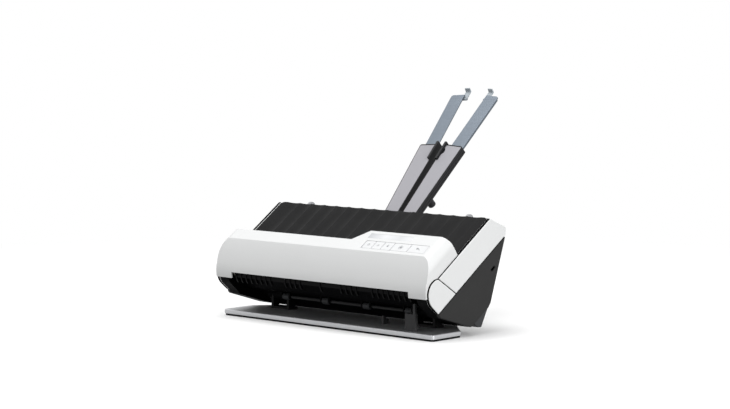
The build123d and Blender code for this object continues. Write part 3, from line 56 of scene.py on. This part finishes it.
COVER_TOP = 51.0 * mm
CREASE_U = 26.0 * mm
BUTTON_EDGES = (49.5, 62.9, 75.2, 88.2, 110.4, 133.0)
BUTTONS = ("power_button", "menu_button", "stop_button", "single_side_button", "double_side_button")
BUTTON_U = (30.2, 41.7)
CREASE_REACH = 0.4 * mm
CREASE_ROUND = 2.6 * mm
UNDERSIDE_TOP_U = 36 * mm
WELD = 0.004 * mm
FLAT_ANGLE = math.radians(0.4)
PRINT_THICK = 0.06
GROOVE_DEPTH = 0.3
GROOVE_WALL = 0.05
OUTER_TYRES = (-62, -15, 15, 62)
INNER_TYRES = (-15, 15)

# ---------------------------------------------------------------- studio
FLOOR_SIZE = 14
FLOOR_SEEN = (0.85, 0.85, 0.85, 1)
FLOOR_BOUNCE = (0.25, 0.25, 0.25, 1)
SKY_LIGHT = 0.7
LENS = 109.13
SENSOR = 36
CAMERA_PLACE = (1.55665, -1.67154, 0.31729)
CAMERA_DIP = 4.83
CAMERA_TURN = 42.66


# ---------------------------------------------------------------- finishes
def shade(value):
    value = value / 255
    return value / 12.92 if value <= 0.04045 else ((value + 0.055) / 1.055) ** 2.4


def colour(red, green, blue, gain=1.0):
    return (shade(red) * gain, shade(green) * gain, shade(blue) * gain, 1.0)


def new_finish(name):
    finish = bpy.data.materials.new(name)
    finish.use_nodes = True
    tree = finish.node_tree
    place = tree.nodes.new("ShaderNodeTexCoord").outputs["Object"]
    return finish, tree, tree.nodes["Principled BSDF"], place


def stretched(tree, place, scale, turn=(0, 0, 0), shift=(0, 0, 0)):
    mapping = tree.nodes.new("ShaderNodeMapping")
    mapping.inputs["Scale"].default_value = scale
    mapping.inputs["Rotation"].default_value = turn
    mapping.inputs["Location"].default_value = shift
    tree.links.new(place, mapping.inputs["Vector"])
    return mapping.outputs["Vector"]


def noise(tree, place, scale, detail=2.0, rough=0.5):
    texture = tree.nodes.new("ShaderNodeTexNoise")
    texture.inputs["Scale"].default_value = scale
    texture.inputs["Detail"].default_value = detail
    texture.inputs["Roughness"].default_value = rough
    tree.links.new(place, texture.inputs["Vector"])
    return texture.outputs["Fac"]


def between(tree, value, low, high, start=0.3, end=0.7):
    spread = tree.nodes.new("ShaderNodeMapRange")
    spread.inputs["From Min"].default_value = start
    spread.inputs["From Max"].default_value = end
    spread.inputs["To Min"].default_value = low
    spread.inputs["To Max"].default_value = high
    tree.links.new(value, spread.inputs["Value"])
    return spread.outputs["Result"]


def tinted(tree, value, stops, start=0.3, end=0.7):
    ramp = tree.nodes.new("ShaderNodeValToRGB")
    band = ramp.color_ramp
    while len(band.elements) < len(stops):
        band.elements.new(0.5)
    for element, (at, tone) in zip(band.elements, stops):
        element.position = at
        element.color = tone
    tree.links.new(between(tree, value, 0, 1, start, end), ramp.inputs["Fac"])
    return ramp.outputs["Color"]


def relief(tree, shader, height, depth):
    bump = tree.nodes.new("ShaderNodeBump")
    bump.inputs["Strength"].default_value = 1.0
    bump.inputs["Distance"].default_value = depth
    tree.links.new(height, bump.inputs["Height"])
    tree.links.new(bump.outputs["Normal"], shader.inputs["Normal"])


def scaled(tone, gain):
    return (min(tone[0] * gain, 1), min(tone[1] * gain, 1), min(tone[2] * gain, 1), 1)


def moulded(name, tone, roughness, grain=0.5, depth=0.03, cloud=0.05, spread=0.05, specular=0.5):
    """Moulded plastic: spark eroded grain of a size and depth in mm, faintly uneven in colour and gloss."""
    finish, tree, shader, place = new_finish(name)
    shader.inputs["Specular IOR Level"].default_value = specular
    clouds = noise(tree, place, 14, 4)
    tones = ((0, scaled(tone, 1 - cloud)), (1, scaled(tone, 1 + cloud)))
    tree.links.new(tinted(tree, clouds, tones), shader.inputs["Base Color"])
    gloss = between(tree, noise(tree, place, 45, 5), roughness - spread, roughness + spread)
    tree.links.new(gloss, shader.inputs["Roughness"])
    relief(tree, shader, noise(tree, place, 1000 / grain, 3, 0.6), depth * mm)
    return finish


def rolled(name, tone, roughness, along=(3, 900, 900), depth=0.01, cloud=0.05, spread=0.06):
    """Sheet metal with a fine grain drawn along x."""
    finish, tree, shader, place = new_finish(name)
    shader.inputs["Metallic"].default_value = 1.0
    streaks = noise(tree, stretched(tree, place, along), 1.0, 4, 0.6)
    tones = ((0, scaled(tone, 1 - cloud)), (1, scaled(tone, 1 + cloud)))
    tree.links.new(tinted(tree, streaks, tones), shader.inputs["Base Color"])
    gloss = between(tree, noise(tree, place, 30, 4), roughness - spread, roughness + spread)
    tree.links.new(gloss, shader.inputs["Roughness"])
    relief(tree, shader, streaks, depth * mm)
    return finish


def board_finish():
    """Green board with copper runs under the lacquer."""
    finish, tree, shader, place = new_finish("board_lacquer")
    runs = tree.nodes.new("ShaderNodeTexBrick")
    runs.inputs["Scale"].default_value = 160
    runs.inputs["Mortar Size"].default_value = 0.06
    runs.inputs["Color1"].default_value = colour(22, 78, 46)
    runs.inputs["Color2"].default_value = colour(26, 88, 52)
    runs.inputs["Mortar"].default_value = colour(62, 118, 72)
    tree.links.new(stretched(tree, place, (1, 1, 1)), runs.inputs["Vector"])
    tree.links.new(runs.outputs["Color"], shader.inputs["Base Color"])
    tree.links.new(between(tree, noise(tree, place, 80, 3), 0.25, 0.4), shader.inputs["Roughness"])
    relief(tree, shader, runs.outputs["Fac"], 0.02 * mm)
    return finish


def display_finish():
    """Blank silvery display behind a clear pane, with a painted reflection: soft diagonal bands of light and
    dark grey in its colour.
    """
    finish, tree, shader, place = new_finish("display_pane_painted_reflection")
    shader.inputs["Coat Weight"].default_value = 0.6
    shader.inputs["Coat Roughness"].default_value = 0.05
    across = stretched(tree, place, (1, 1, 1), turn=(0, 0, math.radians(20)))
    # painted reflection: diagonal light and dark bands across the display's colour
    painted_reflection_bands = tree.nodes.new("ShaderNodeTexGradient")
    tree.links.new(stretched(tree, across, (13.5, 1, 1), shift=(-0.45, 0, 0)), painted_reflection_bands.inputs["Vector"])
    stops = ((0.0, colour(208, 209, 211)), (0.3, colour(184, 186, 189)), (0.55, colour(214, 215, 217)),
             (0.8, colour(198, 200, 202)), (1.0, colour(216, 217, 219)))
    tree.links.new(tinted(tree, painted_reflection_bands.outputs["Color"], stops, 0.0, 1.0), shader.inputs["Base Color"])
    tree.links.new(between(tree, noise(tree, place, 70, 2), 0.12, 0.2), shader.inputs["Roughness"])
    relief(tree, shader, noise(tree, place, 400, 2), 0.004 * mm)
    return finish


FINISHES = {
    "plate_aluminium": rolled("plate_satin_aluminium", colour(180, 181, 183), 0.44, along=(500, 500, 500),
                              depth=0.0008, cloud=0.01, spread=0.03),
    "pad_rubber": moulded("pad_rubber_matt", colour(20, 20, 21), 0.85, grain=0.8, depth=0.08, specular=0.1),
    "black_plastic": moulded("post_black_plastic", colour(42, 42, 43), 0.5, grain=0.6, specular=0.2),
    "bracket_steel": moulded("bracket_black_coat", colour(13, 13, 14), 0.5, grain=0.5, depth=0.01,
                             specular=0.1),
    "steel": rolled("bright_steel", colour(190, 190, 192), 0.28),
    "casing_black": moulded("casing_black_grain", colour(40, 40, 40), 0.55, grain=0.7, depth=0.04, cloud=0.06,
                            specular=0.12),
    "cover_white": moulded("cover_white_satin", colour(208, 209, 209), 0.42, grain=0.35, depth=0.012,
                           cloud=0.012),
    "panel_black": moulded("panel_black_satin", colour(9, 9, 10), 0.4, grain=0.6, depth=0.01, cloud=0.08,
                           specular=0.06),
    "guide_black": moulded("guide_black_satin", colour(9, 9, 10), 0.4, grain=0.6, specular=0.04),
    "sensor_black": moulded("sensor_black_gloss", colour(7, 7, 9), 0.2, grain=2.0, depth=0.004, specular=0.1),
    "motor_steel": rolled("motor_can_steel", colour(150, 151, 154), 0.3, along=(500, 500, 500)),
    "gear_plastic": moulded("gear_white_plastic", colour(188, 185, 174), 0.45, grain=0.6),
    "tyre_rubber": moulded("tyre_dark_rubber", colour(40, 41, 43), 0.8, grain=0.5, depth=0.08, specular=0.15),
    "roller_grey": moulded("roller_grey_plastic", colour(50, 51, 53), 0.6, grain=0.6, specular=0.2),
    "board_green": board_finish(),
    "port_metal": rolled("port_plated_metal", colour(188, 188, 190), 0.25),
    "port_black": moulded("port_black_plastic", colour(20, 20, 21), 0.4, grain=0.5),
    "display_glass": display_finish(),
    "button_white": moulded("button_white_satin", colour(208, 209, 210), 0.36, grain=0.3, depth=0.008,
                            cloud=0.012),
    "guide_grey": moulded("guide_grey_satin", colour(150, 151, 154), 0.5, grain=0.6, depth=0.04),
    "arm_black": moulded("arm_black_grain", colour(24, 24, 26), 0.5, grain=0.6, depth=0.04, specular=0.2),
    "inset_grey": moulded("inset_grey_satin", colour(152, 151, 156), 0.5, grain=0.4, depth=0.02, cloud=0.03,
                          specular=0.25),
    "extension_metal": rolled("extension_grey_metal", colour(98, 105, 113), 0.36),
    "tab_grey": moulded("tab_grey_plastic", colour(150, 158, 164), 0.42, grain=0.5),
}
MARK_GREY = moulded("button_mark_grey", colour(112, 114, 118), 0.5, grain=0.4, depth=0.004)
# painted shade: a near-black copy of the casing black for the shaded underside of the casing
PAINTED_UNDERSIDE_SHADE = moulded("underside_painted_shade", colour(6, 6, 7), 0.6, grain=0.7, specular=0.03)
# painted shade: near-black for the edge faces of the end pieces, where shade falls in the seams
SEAM_SHADE_PAINT = moulded("seam_painted_shade", colour(4, 4, 4), 0.7, grain=0.5, specular=0.02)

slot_of = {entry["node"]: entry["material_slot"] for entry in frame["record"]["subparts"]}
body_of = {node: body for body, members in frame["record"]["behaviour"]["bodies"].items() for node in members}
for node, solid in frame["nodes"].items():
    solid.data.materials.clear()
    solid.data.materials.append(FINISHES[slot_of[node]])


# ---------------------------------------------------------------- shaping
def only(piece):
    if bpy.context.object and bpy.context.object.mode != "OBJECT":
        bpy.ops.object.mode_set(mode="OBJECT")
    bpy.ops.object.select_all(action="DESELECT")
    piece.select_set(True)
    bpy.context.view_layer.objects.active = piece


def edit(piece, kind="FACE"):
    only(piece)
    bpy.ops.object.mode_set(mode="EDIT")
    bpy.ops.mesh.select_mode(type=kind)
    bpy.ops.mesh.select_all(action="DESELECT")


def pick_edges(piece, wanted):
    """Select the edges whose two ends are wanted."""
    edit(piece, "EDGE")
    bpy.ops.object.mode_set(mode="OBJECT")
    for edge in piece.data.edges:
        edge.select = wanted(*(piece.data.vertices[i].co for i in edge.vertices))
    bpy.ops.object.mode_set(mode="EDIT")


def pick_faces(piece, wanted):
    """Select the faces whose centre and normal are wanted."""
    edit(piece, "FACE")
    bpy.ops.object.mode_set(mode="OBJECT")
    for face in piece.data.polygons:
        face.select = wanted(face.center, face.normal)
    bpy.ops.object.mode_set(mode="EDIT")


def finish_shape(piece, smooth=32, weighted=True):
    only(piece)
    bpy.ops.object.shade_smooth_by_angle(angle=math.radians(smooth))
    if weighted:
        piece.modifiers.new("even", "WEIGHTED_NORMAL").keep_sharp = True
        bpy.ops.object.modifier_apply(modifier="even")


def bevelled(piece, width, sharper_than=32, segments=2):
    only(piece)
    bevel = piece.modifiers.new("edges", "BEVEL")
    bevel.width = width * mm
    bevel.segments = segments
    bevel.limit_method = "ANGLE"
    bevel.angle_limit = math.radians(sharper_than)
    bevel.use_clamp_overlap = True
    bpy.ops.object.modifier_apply(modifier="edges")


def settle(piece, place, body, finish):
    """Turn a piece drawn in its own frame into place, with its place in its mesh, and let it ride."""
    only(piece)
    piece.matrix_world = place @ piece.matrix_world
    bpy.ops.object.transform_apply(location=True, rotation=True, scale=True)
    piece.data.materials.clear()
    piece.data.materials.append(finish)
    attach(piece, body)


def copy_of(node):
    source = frame["nodes"][node]
    piece = bpy.data.objects.new(node + "_shaped", source.data.copy())
    bpy.context.scene.collection.objects.link(piece)
    only(piece)
    bpy.ops.mesh.customdata_custom_splitnormals_clear()
    edit(piece, "VERT")
    bpy.ops.mesh.select_all(action="SELECT")
    bpy.ops.mesh.remove_doubles(threshold=WELD)
    bpy.ops.mesh.dissolve_limited(angle_limit=FLAT_ANGLE)
    only(piece)
    return piece


def stands_for(piece, node):
    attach(piece, body_of[node])
    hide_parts(node)


def second_finish(piece, finish, wanted):
    """Give the wanted faces a finish of their own."""
    piece.data.materials.append(finish)
    pick_faces(piece, wanted)
    piece.active_material_index = len(piece.data.materials) - 1
    bpy.ops.object.material_slot_assign()
    only(piece)


def rounded(node, width, sharper_than=32, segments=2, smooth=32):
    piece = copy_of(node)
    bevelled(piece, width, sharper_than, segments)
    finish_shape(piece, smooth)
    stands_for(piece, node)
    return piece


# ---------------------------------------------------------------- front cover
cover = copy_of("cover_shell")
to_body = BODY.inverted()


def on_crease(a, b):
    places = [to_body @ a, to_body @ b]
    return all(abs(p.y - CREASE_U) < CREASE_REACH and abs(p.z - COVER_TOP) < CREASE_REACH for p in places)


pick_edges(cover, on_crease)
bpy.ops.mesh.bevel(offset=CREASE_ROUND, segments=5, affect="EDGES", clamp_overlap=True)
bevelled(cover, 0.55, sharper_than=34, segments=3)
finish_shape(cover, 34)
stands_for(cover, "cover_shell")

for name in BUTTONS:
    rounded(name, 0.45, segments=3)
rounded("display_window", 0.15)
rounded("cover_guide", 0.3)

# ---------------------------------------------------------------- body
for side in ("left", "right"):
    rounded("side_cover_" + side, 0.9, segments=3)
    for kind, width in (("side_trim_", 0.5), ("hinge_cap_", 0.6)):
        # the edges that face a seam get near-black paint, painted shade in the gaps, so each seam reads as
        # one dark line
        end_piece = rounded(kind + side, width, segments=3)
        second_finish(end_piece, SEAM_SHADE_PAINT, lambda centre, normal: abs(normal.x) < 0.2)
    rounded("edge_guide_" + side, 0.45)
    rounded("tray_arm_" + side, 0.5)
    rounded("arm_inset_" + side, 0.25)
    rounded("tray_extension_" + side, 0.2)
    rounded("stop_tab_" + side, 0.3)
casing = rounded("base_casing", 0.5)
# the casing's faces below the underside line get the near-black copy: painted shade under the body
second_finish(casing, PAINTED_UNDERSIDE_SHADE, lambda centre, normal: (to_body @ centre).y < UNDERSIDE_TOP_U)
rounded("support_post", 0.5)
rounded("input_panel", 0.35, sharper_than=40, smooth=14)
rounded("stand_plate", 0.3, sharper_than=25)
rounded("tray_carriage", 0.3)
rounded("tray_knob", 0.5, segments=3)
rounded("rear_foot", 0.5)


# ---------------------------------------------------------------- button marks
def bar(x, y, width, height, turn=0.0):
    """A thin printed bar with rounded ends, in mm about a button's middle."""
    bpy.ops.mesh.primitive_cube_add(size=1, location=(x * mm, y * mm, 0), rotation=(0, 0, math.radians(turn)))
    piece = bpy.context.active_object
    piece.scale = (width * mm, height * mm, PRINT_THICK * mm)
    bpy.ops.object.transform_apply(location=True, rotation=True, scale=True)
    pick_edges(piece, lambda a, b: abs(a.z - b.z) > 0.01 * mm)
    bpy.ops.mesh.bevel(offset=min(width, height) * 0.3 * mm, segments=2, affect="EDGES")
    only(piece)
    return piece


def ring(x, y, radius, width, sides=40):
    """A printed ring, in mm about a button's middle."""
    bpy.ops.mesh.primitive_cylinder_add(
        vertices=sides, radius=radius * mm, depth=PRINT_THICK * mm, location=(x * mm, y * mm, 0),
        end_fill_type="NGON")
    piece = bpy.context.active_object
    bpy.ops.object.transform_apply(location=True, rotation=True, scale=True)
    pick_faces(piece, lambda centre, normal: abs(normal.z) > 0.9)
    bpy.ops.mesh.inset(thickness=width * mm)
    bpy.ops.mesh.bridge_edge_loops()
    only(piece)
    return piece


def joined(pieces, name):
    bpy.ops.object.select_all(action="DESELECT")
    for piece in pieces:
        piece.select_set(True)
    bpy.context.view_layer.objects.active = pieces[0]
    if len(pieces) > 1:
        bpy.ops.object.join()
    whole = bpy.context.active_object
    whole.name = name
    return whole


marks = {
    "power_button": lambda: [ring(0, -0.2, 1.5, 0.36), bar(0, 1.1, 0.36, 1.7)],
    "menu_button": lambda: [bar(0, 0.9, 2.2, 0.34), bar(0, 0, 2.2, 0.34), bar(0, -0.9, 2.2, 0.34)],
    "stop_button": lambda: [bar(0, 0, 2.0, 2.0), bar(0, 1.9, 2.2, 0.3)],
    "single_side_button": lambda: [bar(0, 0, 2.4, 2.4, 45), ring(0, 0, 2.5, 0.34)],
    "double_side_button": lambda: [
        bar(-0.6, 0.3, 2.2, 2.2, 45), bar(1.5, -0.4, 0.34, 3.2, 45), bar(2.2, -0.4, 0.34, 3.2, 45)],
}
button_middle = sum(BUTTON_U) / 2
for left, right, name in zip(BUTTON_EDGES, BUTTON_EDGES[1:], BUTTONS):
    mark = joined(marks[name](), name + "_mark")
    middle = (left + right) / 2
    settle(mark, BODY @ Matrix.Translation((middle * mm, button_middle * mm, COVER_TOP + 0.01 * mm)),
           name + "_body", MARK_GREY)


# ---------------------------------------------------------------- rollers
def tyre(radius, bore, width, ribs):
    """A ribbed rubber tyre about the x axis, in mm."""
    bpy.ops.mesh.primitive_cylinder_add(
        vertices=ribs * 2, radius=radius * mm, depth=width * mm, end_fill_type="NGON")
    piece = bpy.context.active_object
    pick_faces(piece, lambda centre, normal: abs(normal.z) > 0.9)
    bpy.ops.mesh.inset(thickness=(radius - bore) * mm)
    bpy.ops.mesh.bridge_edge_loops()
    step = math.pi / ribs

    def groove(centre, normal):
        outside = math.hypot(centre.x, centre.y) > (radius + bore) / 2 * mm and abs(normal.z) < 0.1
        return outside and int(round(math.atan2(centre.y, centre.x) / step - 0.5)) % 2 == 0

    pick_faces(piece, groove)
    bpy.ops.mesh.inset(thickness=GROOVE_WALL * mm, depth=-GROOVE_DEPTH * mm, use_individual=True)
    only(piece)
    piece.rotation_euler = (0, math.pi / 2, 0)
    bpy.ops.object.transform_apply(location=False, rotation=True, scale=False)
    return piece


def tyre_set(node, places, radius, bore, width, ribs):
    """Ribbed tyres in the places of a roller's plain ones."""
    low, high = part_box(node)
    axis_y, axis_z = (low.y + high.y) / 2, (low.z + high.z) / 2
    first = tyre(radius, bore, width, ribs)
    pieces = []
    for x in places:
        piece = first.copy()
        piece.data = first.data.copy()
        bpy.context.scene.collection.objects.link(piece)
        piece.location = (x * mm, axis_y, axis_z)
        pieces.append(piece)
    bpy.data.objects.remove(first)
    whole = joined(pieces, node + "_ribbed")
    bpy.ops.object.transform_apply(location=True, rotation=True, scale=True)
    whole.data.materials.clear()
    whole.data.materials.append(FINISHES["tyre_rubber"])
    finish_shape(whole, 25, weighted=False)
    stands_for(whole, node)


tyre_set("feed_tyres", OUTER_TYRES, 7.0, 2.5, 14, 28)
tyre_set("exit_tyres", OUTER_TYRES, 4.5, 2.0, 14, 20)
tyre_set("separation_tyres", INNER_TYRES, 7.0, 2.5, 12, 28)

# ---------------------------------------------------------------- stage
bpy.ops.mesh.primitive_plane_add(size=FLOOR_SIZE, location=(0, 0, 0))
floor = bpy.context.active_object
floor.name = "studio_floor"


def seen_directly(tree):
    """1 for rays that come from the camera, a reflection or a pane; 0 for those that carry light."""
    path = tree.nodes.new("ShaderNodeLightPath")
    total = None
    for output in ("Is Camera Ray", "Is Glossy Ray", "Is Transmission Ray"):
        if total is None:
            total = path.outputs[output]
            continue
        either = tree.nodes.new("ShaderNodeMath")
        either.operation = "MAXIMUM"
        tree.links.new(total, either.inputs[0])
        tree.links.new(path.outputs[output], either.inputs[1])
        total = either.outputs[0]
    return total


floor_finish = bpy.data.materials.new("pale_floor")
floor_finish.use_nodes = True
tree = floor_finish.node_tree
tree.nodes.remove(tree.nodes["Principled BSDF"])
matt = tree.nodes.new("ShaderNodeBsdfDiffuse")
floor_tone = tinted(tree, seen_directly(tree), ((0, FLOOR_BOUNCE), (1, FLOOR_SEEN)), 0.0, 1.0)
tree.links.new(floor_tone, matt.inputs["Color"])
paper = tree.nodes.new("ShaderNodeEmission")
paper.inputs["Color"].default_value = (1, 1, 1, 1)
paper.inputs["Strength"].default_value = 1.0
share = tree.nodes.new("ShaderNodeMath")
share.operation = "MULTIPLY"
# bare floor round the object, plain white paper further out
spread = tree.nodes.new("ShaderNodeTexGradient")
spread.gradient_type = "SPHERICAL"
place = tree.nodes.new("ShaderNodeTexCoord").outputs["Object"]
tree.links.new(stretched(tree, place, (1.1, 1.1, 1.1)), spread.inputs["Vector"])
tree.links.new(between(tree, spread.outputs["Fac"], 1.0, 0.0, 0.0, 0.4), share.inputs[1])
tree.links.new(seen_directly(tree), share.inputs[0])
blend = tree.nodes.new("ShaderNodeMixShader")
tree.links.new(share.outputs[0], blend.inputs["Fac"])
tree.links.new(matt.outputs[0], blend.inputs[1])
tree.links.new(paper.outputs[0], blend.inputs[2])
tree.links.new(blend.outputs[0], tree.nodes["Material Output"].inputs["Surface"])
floor.data.materials.append(floor_finish)

world = bpy.data.worlds.new("studio")
bpy.context.scene.world = world
world.use_nodes = True
tree = world.node_tree
sky = tree.nodes["Background"]
sky.inputs["Color"].default_value = (1, 1, 1, 1)
tree.links.new(between(tree, seen_directly(tree), SKY_LIGHT, 1.0, 0.0, 1.0), sky.inputs["Strength"])


def soft_lamp(name, place, aim, size, power):
    lamp = bpy.data.lights.new(name, "AREA")
    lamp.shape = "SQUARE"
    lamp.size = size
    lamp.energy = power
    holder = bpy.data.objects.new(name, lamp)
    bpy.context.scene.collection.objects.link(holder)
    holder.location = place
    holder.rotation_euler = (Vector(aim) - Vector(place)).to_track_quat("-Z", "Y").to_euler()


soft_lamp("top_softbox", (-0.5, -0.3, 2.4), (0, 0, 0), 1.9, 40)
soft_lamp("front_softbox", (-0.5, -2.4, 1.7), (0, 0, 0.1), 1.6, 12)
soft_lamp("right_softbox", (2.4, 0.1, 0.7), (0, 0, 0.1), 1.2, 42)

camera = bpy.data.cameras.new("camera")
camera.lens = LENS
camera.sensor_width = SENSOR
camera.clip_end = 100
holder = bpy.data.objects.new("camera", camera)
bpy.context.scene.collection.objects.link(holder)
holder.location = CAMERA_PLACE
holder.rotation_euler = (math.radians(90 - CAMERA_DIP), 0, math.radians(CAMERA_TURN))
bpy.context.scene.camera = holder
bpy.context.scene.view_settings.view_transform = "Standard"
